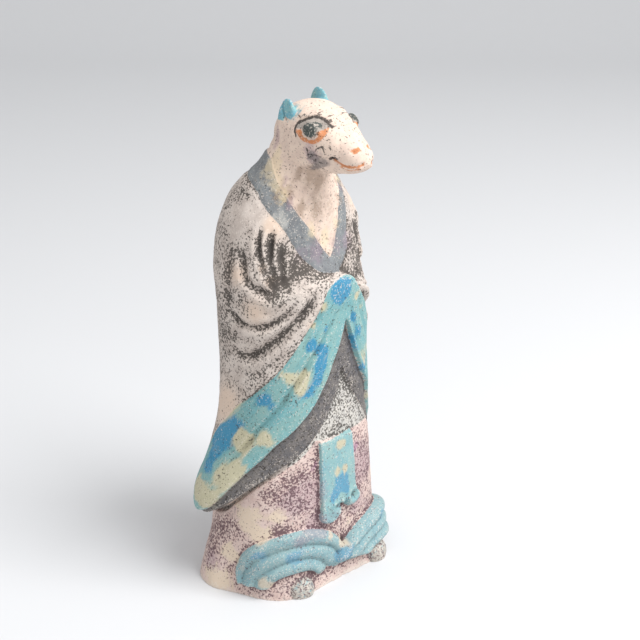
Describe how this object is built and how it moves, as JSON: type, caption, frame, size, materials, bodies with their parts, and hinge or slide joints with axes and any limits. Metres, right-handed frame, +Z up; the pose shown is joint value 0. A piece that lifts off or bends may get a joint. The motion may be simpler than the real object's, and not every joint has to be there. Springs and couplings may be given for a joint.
{
  "type": "tomb figure",
  "caption": "Standing tomb figure of painted earthenware: a robed human body with hands joined in wide sleeves and the head of an animal with a pointed snout.",
  "frame": {"origin": "centre of the flat underside", "axes": "+Z up through the head, the figure faces -Y, its right arm is on the -X side"},
  "size_m": [0.1266, 0.1005, 0.283],
  "materials": {
    "painted_earthenware": "matt worn paint over unglazed clay"
  },
  "bodies": {
    "root": {"figure": "painted_earthenware"}
  },
  "joints": []
}
